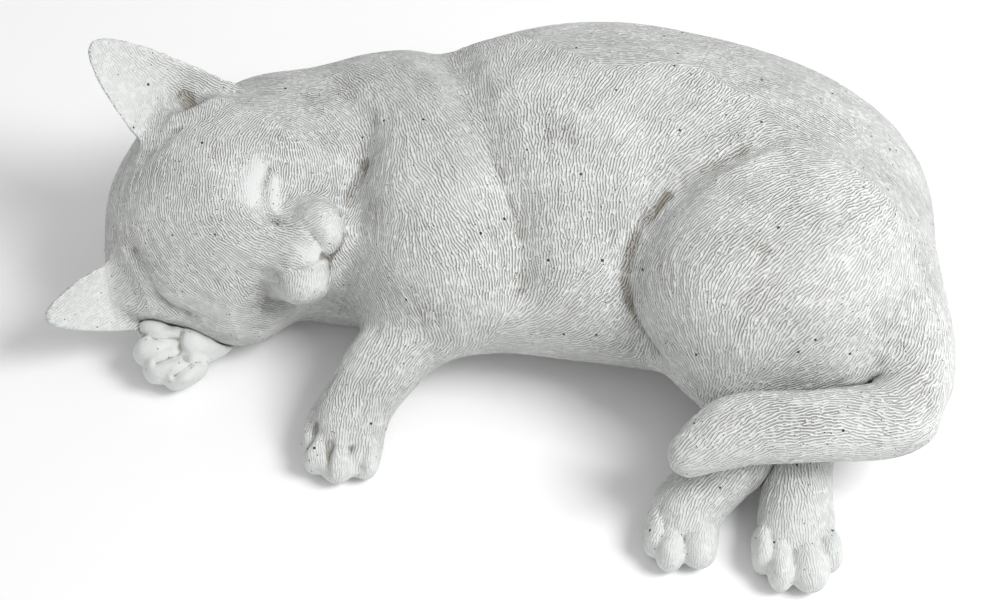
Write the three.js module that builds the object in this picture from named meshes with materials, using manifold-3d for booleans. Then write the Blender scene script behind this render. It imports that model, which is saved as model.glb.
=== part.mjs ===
// Sleeping cat ornament: a cast figure made in sections that are pinned together with steel dowels.
// Millimetres, +Z up. The cat lies on its right side on the plane z = 0, with its head towards -X,
// its back towards +Y and its paws towards -Y.
import * as THREE from "three";
import { mergeVertices } from "three/addons/utils/BufferGeometryUtils.js";
import Module from "manifold-3d";

const wasm = await Module();
wasm.setup();

// Driving dimensions
const BODY_DEPTH = 178;
const BODY_HEIGHT = 120;
const HEAD_WIDTH = 100;
const EAR_JOINT_SHARE = 0.46;
const EAR_PIN_REACH = 0.09;
const PAW_WIDTH = 36;
const RIGHT_FORE_PALM = 30;
const LEFT_HIND_PAW_WIDTH = 31;
const TAIL_RADIUS = 15.5;
const JOINT_GAP = 0.3;
const CONTACT_GAP = 0.8;
const HOLE_CLEARANCE = 0.3;

// Facet sizes: broad forms are coarse, and the face and limbs are fine
const BODY_CELL = 11.8;
const HAUNCH_CELL = 11;
const HEAD_CELL = 6.3;
const LIMB_CELL = 7;
const TAIL_CELL = 8;
const ROUND_SIDES = 14;
const DOWEL_SIDES = 12;

const vector = (x, y, z) => new THREE.Vector3(x, y, z);

function softMin(a, b, softness) {
  const overlap = Math.max(softness - Math.abs(a - b), 0) / softness;
  return Math.min(a, b) - (overlap * overlap * softness) / 4;
}

// A lump of modelling clay: a signed distance, below zero inside, and a box that holds it.
class Clay {
  constructor(box, distance) {
    this.box = box;
    this.distance = distance;
  }

  // Presses another lump on, with a fillet about as wide as softness.
  join(other, softness) {
    const box = this.box.clone().union(other.box);
    return new Clay(box, (x, y, z) => softMin(this.distance(x, y, z), other.distance(x, y, z), softness));
  }

  // Takes another lump's shape away, with a rounded edge.
  carve(other, softness) {
    return new Clay(
      this.box,
      (x, y, z) => -softMin(-this.distance(x, y, z), other.distance(x, y, z), softness),
    );
  }

  // Keeps what lies in a box.
  within(low, high) {
    const box = new THREE.Box3(vector(...low), vector(...high));
    const outside = (x, y, z) =>
      Math.max(low[0] - x, x - high[0], low[1] - y, y - high[1], low[2] - z, z - high[2]);
    return new Clay(box, (x, y, z) => Math.max(this.distance(x, y, z), outside(x, y, z)));
  }

  // Moves a lump from its own frame to where a matrix puts it.
  placed(matrix) {
    const back = matrix.clone().invert();
    const point = vector(0, 0, 0);
    return new Clay(this.box.clone().applyMatrix4(matrix), (x, y, z) => {
      point.set(x, y, z).applyMatrix4(back);
      return this.distance(point.x, point.y, point.z);
    });
  }
}

const press = (softness, lumps) => lumps.reduce((whole, lump) => whole.join(lump, softness));

// An ellipsoid with its half sizes along its own axes, turned in degrees about X, Y and Z.
function egg(centre, half, turn = [0, 0, 0]) {
  const [a, b, c] = half;
  const box = new THREE.Box3(vector(-a, -b, -c), vector(a, b, c));
  const own = new Clay(box, (x, y, z) => {
    const near = Math.hypot(x / a, y / b, z / c);
    const steep = Math.hypot(x / (a * a), y / (b * b), z / (c * c));
    return steep > 0 ? (near * (near - 1)) / steep : -Math.min(a, b, c);
  });
  const angles = turn.map(THREE.MathUtils.degToRad);
  const matrix = new THREE.Matrix4().makeRotationFromEuler(new THREE.Euler(...angles, "ZYX"));
  return own.placed(matrix.setPosition(...centre));
}

// A round limb that follows a smooth curve through stations of [x, y, z, radius].
const LIMB_STEPS = 6;
function limb(stations) {
  const centres = stations.map(([x, y, z]) => vector(x, y, z));
  const spine = new THREE.CatmullRomCurve3(centres, false, "centripetal");
  const girth = new THREE.SplineCurve(stations.map((station, i) => new THREE.Vector2(i, station[3])));
  const count = (stations.length - 1) * LIMB_STEPS;
  const rings = Array.from({ length: count + 1 }, (_, i) => ({
    centre: spine.getPoint(i / count),
    radius: girth.getPoint(i / count).y,
  }));
  const box = new THREE.Box3();
  rings.forEach(({ centre, radius }) => box.union(new THREE.Box3().setFromCenterAndSize(
    centre, vector(2 * radius, 2 * radius, 2 * radius))));
  return new Clay(box, (x, y, z) => {
    let nearest = Infinity;
    for (let i = 0; i < count; i += 1) {
      const { centre: p, radius: r } = rings[i];
      const { centre: q, radius: s } = rings[i + 1];
      const [dx, dy, dz] = [q.x - p.x, q.y - p.y, q.z - p.z];
      const along = ((x - p.x) * dx + (y - p.y) * dy + (z - p.z) * dz) / (dx * dx + dy * dy + dz * dz);
      const t = Math.min(1, Math.max(0, along));
      const away = Math.hypot(x - p.x - t * dx, y - p.y - t * dy, z - p.z - t * dz);
      nearest = Math.min(nearest, away - r - t * (s - r));
    }
    return nearest;
  });
}

// Turns clay into a solid: one vertex for each cell that the surface crosses, drawn onto the surface,
// and one square for each cell edge that it crosses.
function fire(clay, cell) {
  const low = clay.box.min.clone().subScalar(1.5 * cell);
  const size = clay.box.max.clone().sub(low).addScalar(1.5 * cell).divideScalar(cell);
  const [nx, ny, nz] = size.toArray().map((n) => Math.ceil(n) + 1);
  const at = (i, j, k) => i + nx * (j + ny * k);
  const field = new Float64Array(nx * ny * nz);
  for (let k = 0; k < nz; k += 1)
    for (let j = 0; j < ny; j += 1)
      for (let i = 0; i < nx; i += 1)
        field[at(i, j, k)] = clay.distance(low.x + i * cell, low.y + j * cell, low.z + k * cell) || 1e-6;

  const corners = [0, 1, 2, 3, 4, 5, 6, 7].map((n) => [n & 1, (n >> 1) & 1, n >> 2]);
  const edges = corners.flatMap((a, m) =>
    corners.flatMap((b, n) => (m < n && a.filter((v, d) => v !== b[d]).length === 1 ? [[a, b]] : [])),
  );
  const points = [];
  const index = new Int32Array(field.length).fill(-1);
  for (let k = 0; k < nz - 1; k += 1)
    for (let j = 0; j < ny - 1; j += 1)
      for (let i = 0; i < nx - 1; i += 1) {
        const sum = vector(0, 0, 0);
        let crossings = 0;
        for (const [a, b] of edges) {
          const u = field[at(i + a[0], j + a[1], k + a[2])];
          const v = field[at(i + b[0], j + b[1], k + b[2])];
          if (u < 0 === v < 0) continue;
          const t = u / (u - v);
          sum.add(vector(a[0] + t * (b[0] - a[0]), a[1] + t * (b[1] - a[1]), a[2] + t * (b[2] - a[2])));
          crossings += 1;
        }
        if (!crossings) continue;
        const point = sum.divideScalar(crossings).add(vector(i, j, k)).multiplyScalar(cell).add(low);
        index[at(i, j, k)] = points.length / 3;
        points.push(...drawnOn(clay, point, cell).toArray());
      }

  const faces = [];
  const step = [[1, 0, 0], [0, 1, 0], [0, 0, 1]];
  for (let k = 1; k < nz - 1; k += 1)
    for (let j = 1; j < ny - 1; j += 1)
      for (let i = 1; i < nx - 1; i += 1)
        for (let d = 0; d < 3; d += 1) {
          const inside = field[at(i, j, k)] < 0;
          if (inside === field[at(i + step[d][0], j + step[d][1], k + step[d][2])] < 0) continue;
          const [e, f] = [step[(d + 1) % 3], step[(d + 2) % 3]];
          const ring = [[1, 1], [0, 1], [0, 0], [1, 0]].map(([m, n]) => {
            const [u, v, w] = [0, 1, 2].map((axis) => m * e[axis] + n * f[axis]);
            return index[at(i - u, j - v, k - w)];
          });
          if (!inside) ring.reverse();
          faces.push(ring[0], ring[1], ring[2], ring[0], ring[2], ring[3]);
        }
  return new wasm.Manifold(
    new wasm.Mesh({ numProp: 3, vertProperties: new Float32Array(points), triVerts: new Uint32Array(faces) }),
  );
}

// Moves a point along the slope of the clay until it lies on the surface, at most half a cell.
function drawnOn(clay, point, cell) {
  const e = cell / 50;
  const start = point.clone();
  for (let n = 0; n < 3; n += 1) {
    const { x, y, z } = point;
    const here = clay.distance(x, y, z);
    const slope = vector(
      clay.distance(x + e, y, z) - here,
      clay.distance(x, y + e, z) - here,
      clay.distance(x, y, z + e) - here,
    ).divideScalar(e);
    point.addScaledVector(slope, -here / Math.max(slope.lengthSq(), 0.25));
  }
  const moved = point.sub(start);
  return start.add(moved.clampLength(0, cell / 2));
}

// A three.js geometry as a manifold solid.
function solidOf(geometry) {
  const bare = new THREE.BufferGeometry();
  const source = geometry.index ? geometry.toNonIndexed() : geometry;
  bare.setAttribute("position", source.getAttribute("position"));
  const merged = mergeVertices(bare, 1e-3);
  return new wasm.Manifold(
    new wasm.Mesh({
      numProp: 3,
      vertProperties: new Float32Array(merged.attributes.position.array),
      triVerts: new Uint32Array(merged.index.array),
    }),
  );
}

// A small round form, placed in a frame of its own.
function ellipsoid(place, half, frame) {
  const geometry = new THREE.SphereGeometry(1, ROUND_SIDES, ROUND_SIDES / 2);
  return solidOf(geometry.scale(...half).translate(...place).applyMatrix4(frame));
}

function geometryOf(solid) {
  const mesh = solid.getMesh();
  const geometry = new THREE.BufferGeometry();
  geometry.setAttribute("position", new THREE.BufferAttribute(mesh.vertProperties, mesh.numProp));
  geometry.setIndex(new THREE.BufferAttribute(mesh.triVerts, 1));
  geometry.computeVertexNormals();
  return geometry;
}

// A block that fills the side of a joint that its normal points to, drawn back by half the joint's gap.
const BLOCK = 600;
function block({ point, normal }, side) {
  const away = vector(...normal).normalize().multiplyScalar(side);
  const geometry = new THREE.BoxGeometry(BLOCK, BLOCK, BLOCK);
  geometry.applyQuaternion(new THREE.Quaternion().setFromUnitVectors(vector(0, 0, 1), away));
  const centre = vector(...point).addScaledVector(away, BLOCK / 2 - JOINT_GAP / 2);
  return solidOf(geometry.translate(...centre.toArray()));
}

// The same joint, moved against its normal by the joint's gap.
function drawnBack({ point, normal }) {
  const away = vector(...normal).normalize();
  return { point: vector(...point).addScaledVector(away, -JOINT_GAP).toArray(), normal };
}

// A round plug on one side of a joint, for cuts that must not reach the rest of the figure.
const PLUG_SIDES = 48;
function plug({ point, normal }, radius, length) {
  const away = vector(...normal).normalize();
  const geometry = new THREE.CylinderGeometry(radius, radius, length, PLUG_SIDES);
  geometry.applyQuaternion(new THREE.Quaternion().setFromUnitVectors(vector(0, 1, 0), away));
  const centre = vector(...point).addScaledVector(away, length / 2 - JOINT_GAP / 2);
  return solidOf(geometry.translate(...centre.toArray()));
}

const FLOOR = { point: [0, 0, -JOINT_GAP / 2], normal: [0, 0, -1] };

// Cuts a solid at joints, keeping the side that each sign asks for, and flattens its underside.
function cutAt(solid, ...cuts) {
  return [...cuts, [FLOOR, 1]].reduce((rest, [joint, away]) => rest.subtract(block(joint, away)), solid);
}

// The head's own frame: x to the cat's left, y to the crown, z out of the face.
const HEAD_LEFT = vector(0.29, 0.733, 0.615);
const HEAD_CROWN = vector(-0.829, -0.13, 0.544);
const HEAD_CENTRE = vector(-129, 37, 50);
const HEAD_FORWARD = vector(0, 0, 0).crossVectors(HEAD_LEFT, HEAD_CROWN);
const headMatrix = new THREE.Matrix4()
  .makeBasis(HEAD_LEFT, HEAD_CROWN, HEAD_FORWARD)
  .setPosition(HEAD_CENTRE);
const inHead = (x, y, z) => vector(x, y, z).applyMatrix4(headMatrix);
const bothSides = (make) => [1, -1].map(make);

// Skull, jowls and the broad part of the muzzle, which flow into the neck.
function skullClay() {
  const skull = egg([1.5, 2, -4], [HEAD_WIDTH / 2, 43.5, 46]);
  const jowls = bothSides((side) => egg([side * 29, -20, 12], [21, 22, 22]));
  const muzzle = egg([0, -23, 39], [19, 14, 16]);
  const bridge = limb([[0, 8, 32, 12], [0, -8, 43, 8.5], [0, -18, 51, 6]]);
  const earRoots = bothSides((side) => egg([side * 33, 21, -8], [17, 14, 10], [0, 0, side * -24]));
  return press(14, [skull, ...jowls, muzzle, bridge, ...earRoots]).placed(headMatrix);
}

// The forms of the face: closed lids, whisker pads with the nose between them, and chin.
function faceClay() {
  const lids = bothSides((side) => egg([side * 21, -3, 31], [14, 11, 9]));
  const pads = bothSides((side) => egg([side * 12, -27, 50], [13.5, 13, 15]));
  const nose = egg([0, -20, 58], [7, 6.5, 6]);
  const chin = egg([0, -40, 42], [11, 9, 12]);
  return press(3, [...lids, ...pads, nose, chin]).placed(headMatrix);
}

// A closed eye: a slit that arches along the surface, between the corners of the lids.
const SLIT_RADIUS = 1;
const SLIT_REACH = 30;
function eyeSlit(clay, side) {
  const arch = [[9.5, -7.5, 43], [12, -4, 42], [17, -2.7, 41], [23.5, -2.3, 38], [30, -2.8, 33]];
  const onLid = arch.map(([x, y, z]) => drawnOn(clay, inHead(side * x, y, z), SLIT_REACH));
  const round = new THREE.Shape().absarc(0, 0, SLIT_RADIUS, 0, 2 * Math.PI);
  const settings = { extrudePath: new THREE.CatmullRomCurve3(onLid), steps: 10, curveSegments: 4 };
  return solidOf(new THREE.ExtrudeGeometry(round, settings));
}

function trunkClay() {
  const barrel = egg([46, 58, 50], [112, BODY_DEPTH / 2, BODY_HEIGHT / 2]);
  const rump = egg([111, 39, 50], [83, 81, 57]);
  const chest = egg([-26, 52, 44], [56, 70, 50]);
  const blade = egg([-54, 91, 52], [32, 38, 34]);
  const nape = egg([-96, 72, 42], [56, 54, 43]);
  const throat = egg([-70, 39, 30], [44, 32, 36]);
  return press(22, [barrel, rump, chest, blade, nape, throat]);
}

function thighClay() {
  const thigh = egg([119, -3, 66], [64, 60, 48], [0, 0, 14]);
  const knee = egg([92, -18, 63], [28, 32, 40]);
  const shank = limb([[86, -36, 53, 17], [99, -51, 42, 16], [118, -50, 32, 18]]);
  const seat = egg([146, -34, 44], [30, 28, 34]);
  return press(13, [thigh, knee, shank, seat]);
}

// Soft folds in the coat: where the thigh leaves the flank, behind the shoulder, and round the neck.
const FOLD_SOFTNESS = 9;
const folds = [
  limb([[118, 33, 114, 4], [84, 16, 111, 6], [60, -4, 98, 7], [50, -19, 87, 7], [51, -36, 74, 7]]),
  limb([[-22, 84, 104, 4], [-5, 33, 106, 5], [6, -5, 93, 5.5], [9, -24, 73, 5]]),
  limb([[-60, 60, 93, 4], [-62, 38, 86, 5.5], [-64, 18, 81, 6]]),
];

// A paw in its own frame: y to the toe tips, z out of the back of the paw, its sole near z = 0.
const PALM_SHARE = 0.46;
const palmClay = (width) => egg([0, 2, 11.5], [PALM_SHARE * width, 17.5, 11]);

// A blunt round toe of a paw, from its place across the paw, its tip, half its width and its length.
const TOE_HEIGHT = 19;
const TOE_CAP_RINGS = 3;
function toeSolid([across, tip, half, length], frame) {
  const geometry = new THREE.CapsuleGeometry(half, length - 2 * half, TOE_CAP_RINGS, ROUND_SIDES);
  geometry.scale(1, 1, TOE_HEIGHT / 2 / half);
  geometry.translate(across, tip - length / 2, TOE_HEIGHT / 2);
  return solidOf(geometry.applyMatrix4(frame));
}
const toeSolids = (toes, frame) => toes.map((toe) => toeSolid(toe, frame));

// The cushions under a paw: one for each toe and a broad one behind them.
const PAD_SHARE = 0.9;
const HEEL_PAD = { place: [1, 9, 3.5], half: [9, 7.5, 5.5] };
function padSolids(toes, frame) {
  const toePads = toes.map(([across, tip, half]) =>
    ellipsoid([across, tip - 9, 4], [PAD_SHARE * half, 7, 5], frame),
  );
  return [...toePads, ellipsoid(HEEL_PAD.place, HEEL_PAD.half, frame)];
}

// The frame of a paw that stands at a place, with its toes and its back turned in given directions.
function pawFrame(place, toes, back) {
  const y = vector(...toes).normalize();
  const x = vector(0, 0, 0).crossVectors(y, vector(...back)).normalize();
  const z = vector(0, 0, 0).crossVectors(x, y);
  return new THREE.Matrix4().makeBasis(x, y, z).setPosition(...place);
}

// Limbs, each with the frame of its paw
const UP = [0, 0, 1];
const FORELEG = [
  [-14, 10, 45, 27],
  [-35, -8, 35, 20],
  [-50.5, -25, 25, 17],
  [-61.5, -39, 17.5, 15],
  [-65.5, -48, 14, 14.5],
];
const upperArm = limb(FORELEG.slice(0, 4));
const leftForePaw = pawFrame([-66.5, -43, 0], [-0.13, -0.98, 0], UP);
const LEFT_FORE_TOES = [[13.5, 20, 5, 20], [10.6, 29, 5.8, 28], [0.5, 33, 8, 30], [-11.3, 29, 6.6, 26]];
const leftForeleg = limb(FORELEG).join(palmClay(PAW_WIDTH).placed(leftForePaw), 8);
const rightForePaw = pawFrame([-131, -3, 26], [-0.84, -0.5, -0.14], [0, 0.45, -0.89]);
const RIGHT_FORE_TOES = [[-13, 27, 6.6, 22], [-4.5, 34, 6.8, 26], [5, 34, 7, 26], [12, 28, 6.6, 22]];
const rightForeleg = limb([
  [-112, 27, 17, 12.5],
  [-122, 16, 16, 12],
  [-132, 6, 15, 12],
]).join(palmClay(RIGHT_FORE_PALM).placed(rightForePaw), 8);
const leftHindPaw = pawFrame([78.5, -89, 0], [-0.12, -0.99, 0], UP);
const LEFT_HIND_TOES = [[11, 25.5, 5.4, 22], [4.4, 32, 6.4, 28], [-7.5, 29.5, 8.2, 28]];
const leftHindFoot = limb([
  [110, -64, 26, 13.5],
  [101, -75, 24, 14.5],
  [88, -86, 18, 13.5],
  [80, -95, 14.5, 13],
]).join(palmClay(LEFT_HIND_PAW_WIDTH).placed(leftHindPaw), 7);
const rightHindPaw = pawFrame([124.5, -98, 0], [-0.02, -1, 0], UP);
const RIGHT_HIND_TOES = [
  [14, 23.5, 5.2, 20],
  [7.2, 32, 5.8, 28],
  [-5, 33, 8.6, 30],
  [-13.6, 22.5, 5.8, 18],
];
const rightHindFoot = limb([
  [130, -52, 19, 17],
  [127, -72, 17, 16],
  [125, -95, 14, 14.5],
]).join(palmClay(PAW_WIDTH).placed(rightHindPaw), 7);

const TAIL = [
  [153, 30, 58, 31],
  [168, -14, 56, 24.5],
  [174.5, -48, 54, 18.5],
  [168, -71.5, 52, 16.8],
  [128, -79, 53, TAIL_RADIUS],
  [96, -81, 52, TAIL_RADIUS],
  [78, -89, 47, 10.5],
];
const tail = limb(TAIL);
const tailRoot = limb(TAIL.slice(0, 4));

const shoulder = egg([-20, 14, 56], [38, 40, 36]);
const coat = trunkClay().join(thighClay(), 9).join(shoulder, 14).join(skullClay(), 16);
const body = folds.reduce((clay, fold) => clay.carve(fold, FOLD_SOFTNESS), coat);
const front = body.join(faceClay(), 6);
const torsoClay = body.join(upperArm, 9).join(tailRoot, 9);

// An ear as a loft of crescents from its root to its tip, hollow to +z of its own frame.
const EAR_RINGS = 8;
const EAR_SPAN = 8;
class Ear {
  constructor(root, tip, hollow, width) {
    this.length = root.distanceTo(tip);
    this.width = width;
    const y = tip.clone().sub(root).normalize();
    const x = vector(0, 0, 0).crossVectors(y, hollow).normalize();
    const z = vector(0, 0, 0).crossVectors(x, y);
    this.frame = new THREE.Matrix4().makeBasis(x, y, z).setPosition(root);
  }

  // Half width, depth of the cup and thickness of the wall, a share of the way up.
  girth(share) {
    const half = (this.width / 2) * (1 - 0.66 * share) * Math.sqrt(1 - Math.pow(share, 6)) + 1.2;
    return { half, deep: 0.62 * half * (1 - 0.4 * share), thick: 6.5 - 2.6 * share };
  }

  ring(share) {
    const { half, deep, thick } = this.girth(share);
    const outer = (n) => vector(half * n, share * this.length, deep * (n * n - 1));
    const inner = (n) => outer(n * (1 - 1 / half)).add(vector(0, 0, thick * (1 - 0.55 * n * n)));
    const across = Array.from({ length: EAR_SPAN + 1 }, (_, j) => (2 * j) / EAR_SPAN - 1);
    return [...across.map(outer), ...across.reverse().map(inner)];
  }

  geometry() {
    const shares = Array.from({ length: EAR_RINGS + 1 }, (_, i) => Math.sin((i / EAR_RINGS) * (Math.PI / 2)));
    const ring = 2 * (EAR_SPAN + 1);
    const last = EAR_RINGS * ring;
    const faces = [];
    for (let i = 0; i < last; i += ring)
      for (let j = 0; j < ring; j += 1) {
        const [a, b] = [i + j, i + ((j + 1) % ring)];
        faces.push(a, b + ring, b, a, a + ring, b + ring);
      }
    for (let a = 0; a < EAR_SPAN; a += 1) {
      const b = ring - 1 - a;
      faces.push(a, b - 1, b, a, a + 1, b - 1);
      faces.push(last + a, last + b, last + b - 1, last + a, last + b - 1, last + a + 1);
    }
    const geometry = new THREE.BufferGeometry().setFromPoints(shares.flatMap((share) => this.ring(share)));
    geometry.setIndex(faces);
    return geometry.applyMatrix4(this.frame);
  }

  // The middle of the wall, a share of the way up.
  middle(share) {
    const { deep, thick } = this.girth(share);
    return vector(0, share * this.length, thick / 2 - deep).applyMatrix4(this.frame);
  }

  // The joint lies square across the ear, and its pin follows the lean of the wall.
  joint(share, reach) {
    const lean = this.middle(share + reach).sub(this.middle(share - reach));
    const normal = vector(0, 1, 0).transformDirection(this.frame);
    return { point: this.middle(share).toArray(), normal: normal.toArray(), along: lean.toArray() };
  }
}

const leftEar = new Ear(
  inHead(35, 10, -4),
  inHead(59, 77, -4),
  vector(0.25, 0.1, 1).transformDirection(headMatrix),
  58,
);
const rightEar = new Ear(
  inHead(-30, 10, -4),
  inHead(-61, 61, -2),
  vector(-0.2, 0.2, 1).transformDirection(headMatrix),
  46,
);

// Joints: a point on the mating faces and the direction across them
const NECK_JOINT = { point: [-68, 45, 42], normal: [0.972, 0, -0.233] };
const SHOULDER_JOINT = { point: [-5, 48, 48], normal: [0.968, 0.251, 0] };
const LOIN_JOINT = { point: [77, 48, 50], normal: [0.943, -0.333, 0] };
const ELBOW_JOINT = { point: [-46, -24, 26], normal: [-0.68, -0.62, -0.39] };
const TAIL_JOINT = { point: [170, -68, 52], normal: [-0.7, -0.71, 0] };
const LEFT_EAR_JOINT = leftEar.joint(EAR_JOINT_SHARE, EAR_PIN_REACH);
const RIGHT_EAR_JOINT = rightEar.joint(EAR_JOINT_SHARE, EAR_PIN_REACH);
const LEFT_HIND_JOINT = { point: [115, -66, 28], normal: [0.62, 0.7, 0.3] };
const RIGHT_HIND_JOINT = { point: [129.5, -61, 17.5], normal: [0.05, 1, 0.06] };
const RIGHT_FORE_JOINT = { point: [-133, 2, 16], normal: [0.745, 0.588, 0.31] };

// Steel dowels across the joints: name, joint, radius and length
const DOWELS = [
  ["neck_dowel", NECK_JOINT, 5, 56],
  ["shoulder_dowel", SHOULDER_JOINT, 6, 70],
  ["loin_dowel", LOIN_JOINT, 6, 70],
  ["left_foreleg_dowel", ELBOW_JOINT, 4, 40],
  ["right_foreleg_dowel", RIGHT_FORE_JOINT, 2.5, 26],
  ["left_hind_foot_dowel", LEFT_HIND_JOINT, 3, 36],
  ["right_hind_foot_dowel", RIGHT_HIND_JOINT, 2.5, 36],
  ["tail_dowel", TAIL_JOINT, 4, 36],
  ["left_ear_pin", LEFT_EAR_JOINT, 1.2, 14],
  ["right_ear_pin", RIGHT_EAR_JOINT, 1.2, 12],
];
function rod({ point, normal, along = normal }, radius, length) {
  const geometry = new THREE.CylinderGeometry(radius, radius, length, DOWEL_SIDES);
  const lean = vector(...along).normalize();
  geometry.applyQuaternion(new THREE.Quaternion().setFromUnitVectors(vector(0, 1, 0), lean));
  return solidOf(geometry.translate(...point));
}
const holes = DOWELS.map(([, joint, radius, length]) =>
  rod(joint, radius + HOLE_CLEARANCE, length + 2 * HOLE_CLEARANCE),
);

const group = new THREE.Group();
const castStone = () => new THREE.MeshStandardMaterial({ color: 0xc7cbc8, roughness: 0.9, metalness: 0 });
const dowelSteel = () => new THREE.MeshStandardMaterial({ color: 0x9a9da0, roughness: 0.4, metalness: 1 });
function add(name, solid, material) {
  const mesh = new THREE.Mesh(geometryOf(solid), material);
  mesh.name = name;
  group.add(mesh);
}
function addCasting(name, solid) {
  const drilled = holes.reduce((rest, hole) => rest.subtract(hole), solid);
  add(name, drilled, castStone());
}

// The room that a casting takes up beside another: itself, and a copy moved towards the other.
function roomOf(solid, toward) {
  return solid.add(solid.translate(vector(...toward).setLength(CONTACT_GAP).toArray()));
}
const DOWN_AND_OUT = [0, -0.6, -0.8];
const BACK = [0, 1, 0];

// Plugs of [radius, length] that clear the far side of a joint
const ELBOW_PLUG = [26, 60];
const TAIL_PLUG = [19, 24];
const EAR_PLUG = [40, 80];

// The castings
const union = (...solids) => solids.flat().reduce((whole, piece) => whole.add(piece));
const torso = fire(torsoClay, BODY_CELL).subtract(plug(ELBOW_JOINT, ...ELBOW_PLUG));
addCasting("shoulders", cutAt(torso, [NECK_JOINT, -1], [SHOULDER_JOINT, 1]));
addCasting("barrel", cutAt(torso, [SHOULDER_JOINT, -1], [LOIN_JOINT, 1]));
const tailSolid = fire(tail, TAIL_CELL);
const tailEnd = tailSolid.subtract(block(TAIL_JOINT, -1));
addCasting("tail", cutAt(tailEnd));
const rear = fire(torsoClay.within([40, -120, -20], [220, 160, 140]), HAUNCH_CELL);
const besideTail = roomOf(tailSolid, BACK).subtract(block(drawnBack(TAIL_JOINT), -1));
const tailRoom = besideTail.add(plug(TAIL_JOINT, ...TAIL_PLUG));
const haunches = cutAt(rear.subtract(tailRoom), [LOIN_JOINT, -1]);
addCasting("haunches", haunches);
const ears = [leftEar, rightEar].map((ear) => solidOf(ear.geometry()));
const skull = fire(front.within([-220, -60, -20], [-50, 140, 140]), HEAD_CELL);
const earTips = union(plug(LEFT_EAR_JOINT, ...EAR_PLUG), plug(RIGHT_EAR_JOINT, ...EAR_PLUG));
const slits = bothSides((side) => eyeSlit(front, side));
const wholeHead = union(skull, ears);
addCasting("head", cutAt(wholeHead.subtract(union(earTips, slits)), [NECK_JOINT, 1]));
addCasting("left_ear", ears[0].subtract(block(LEFT_EAR_JOINT, -1)));
addCasting("right_ear", ears[1].subtract(block(RIGHT_EAR_JOINT, -1)));
const leftFore = union(fire(leftForeleg, LIMB_CELL), toeSolids(LEFT_FORE_TOES, leftForePaw));
addCasting("left_foreleg", cutAt(leftFore, [ELBOW_JOINT, -1]));
const rightPaw = [toeSolids(RIGHT_FORE_TOES, rightForePaw), padSolids(RIGHT_FORE_TOES, rightForePaw)];
const rightFore = union(fire(rightForeleg, LIMB_CELL), ...rightPaw);
addCasting("right_foreleg", cutAt(rightFore.subtract(roomOf(wholeHead, DOWN_AND_OUT))));
const overFeet = union(roomOf(haunches, DOWN_AND_OUT), roomOf(tailEnd, DOWN_AND_OUT));
const leftHind = union(fire(leftHindFoot, LIMB_CELL), toeSolids(LEFT_HIND_TOES, leftHindPaw));
addCasting("left_hind_foot", cutAt(leftHind.subtract(overFeet)));
const rightHind = union(fire(rightHindFoot, LIMB_CELL), toeSolids(RIGHT_HIND_TOES, rightHindPaw));
addCasting("right_hind_foot", cutAt(rightHind.subtract(overFeet).subtract(roomOf(leftHind, DOWN_AND_OUT))));

// The fixings
DOWELS.forEach(([name, joint, radius, length]) => add(name, rod(joint, radius, length), dowelSteel()));

// The frame's origin lies under the middle of the figure.
const middle = new THREE.Box3().setFromObject(group).getCenter(vector(0, 0, 0));
group.position.set(-middle.x, -middle.y, 0);

export default group;
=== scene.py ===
# %% [markdown]
# # A sleeping cat, cast in stone
#
# The real object is an off-white cast ornament: a cat asleep on its side, its coat carved in short
# strokes, with small air-bubble pits and a little brown grime in the creases. The solids of the castings
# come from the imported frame. This lesson covers them with one carved skin, the way a sculptor would work
# over an armature: fuse the sections, smooth them, carve the face and paws, comb the coat, and then part
# the skin again along the flat joints, so that every casting stays a piece of its own.

# %% Load the frame
import math

import bmesh
import bpy
import numpy as np
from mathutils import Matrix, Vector


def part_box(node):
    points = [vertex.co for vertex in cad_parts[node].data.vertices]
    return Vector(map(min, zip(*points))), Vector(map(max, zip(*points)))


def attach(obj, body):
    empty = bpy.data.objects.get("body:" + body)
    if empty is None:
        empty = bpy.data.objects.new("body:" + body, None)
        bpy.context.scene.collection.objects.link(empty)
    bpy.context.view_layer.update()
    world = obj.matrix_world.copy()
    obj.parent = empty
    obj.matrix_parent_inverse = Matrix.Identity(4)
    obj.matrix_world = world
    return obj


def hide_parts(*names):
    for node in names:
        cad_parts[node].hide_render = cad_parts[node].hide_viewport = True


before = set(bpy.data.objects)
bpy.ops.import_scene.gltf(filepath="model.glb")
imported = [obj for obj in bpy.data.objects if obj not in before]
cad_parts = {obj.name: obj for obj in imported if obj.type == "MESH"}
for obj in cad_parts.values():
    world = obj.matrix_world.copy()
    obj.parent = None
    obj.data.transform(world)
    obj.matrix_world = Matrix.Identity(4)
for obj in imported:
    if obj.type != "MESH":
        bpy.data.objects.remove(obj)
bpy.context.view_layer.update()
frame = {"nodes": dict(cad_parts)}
castings = frame["nodes"]

# %% [markdown]
# ## The maker's frame
#
# Every measure below is in millimetres from the spot where the modelling began, which is easier to read
# than metres from the middle of the finished figure. The neck dowel sits at a known place in both, so its
# box gives the step from one to the other, and the skin stays in place if the figure is cast again.

# %% The maker's frame
MM = 0.001
NECK_DOWEL_PLACE = Vector((-68, 45, 42))
dowel_low, dowel_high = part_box("neck_dowel")
ORIGIN = (dowel_low + dowel_high) / 2 - NECK_DOWEL_PLACE * MM


def place(x, y, z):
    return Vector((x, y, z)) * MM + ORIGIN


print("maker's origin", [round(c / MM, 2) for c in ORIGIN])

# %% [markdown]
# ## Camera
#
# The photograph looks down at the paws from about fifty degrees, through a long lens, so the edges of the
# figure hardly converge. The camera stands a metre away along that line.

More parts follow.
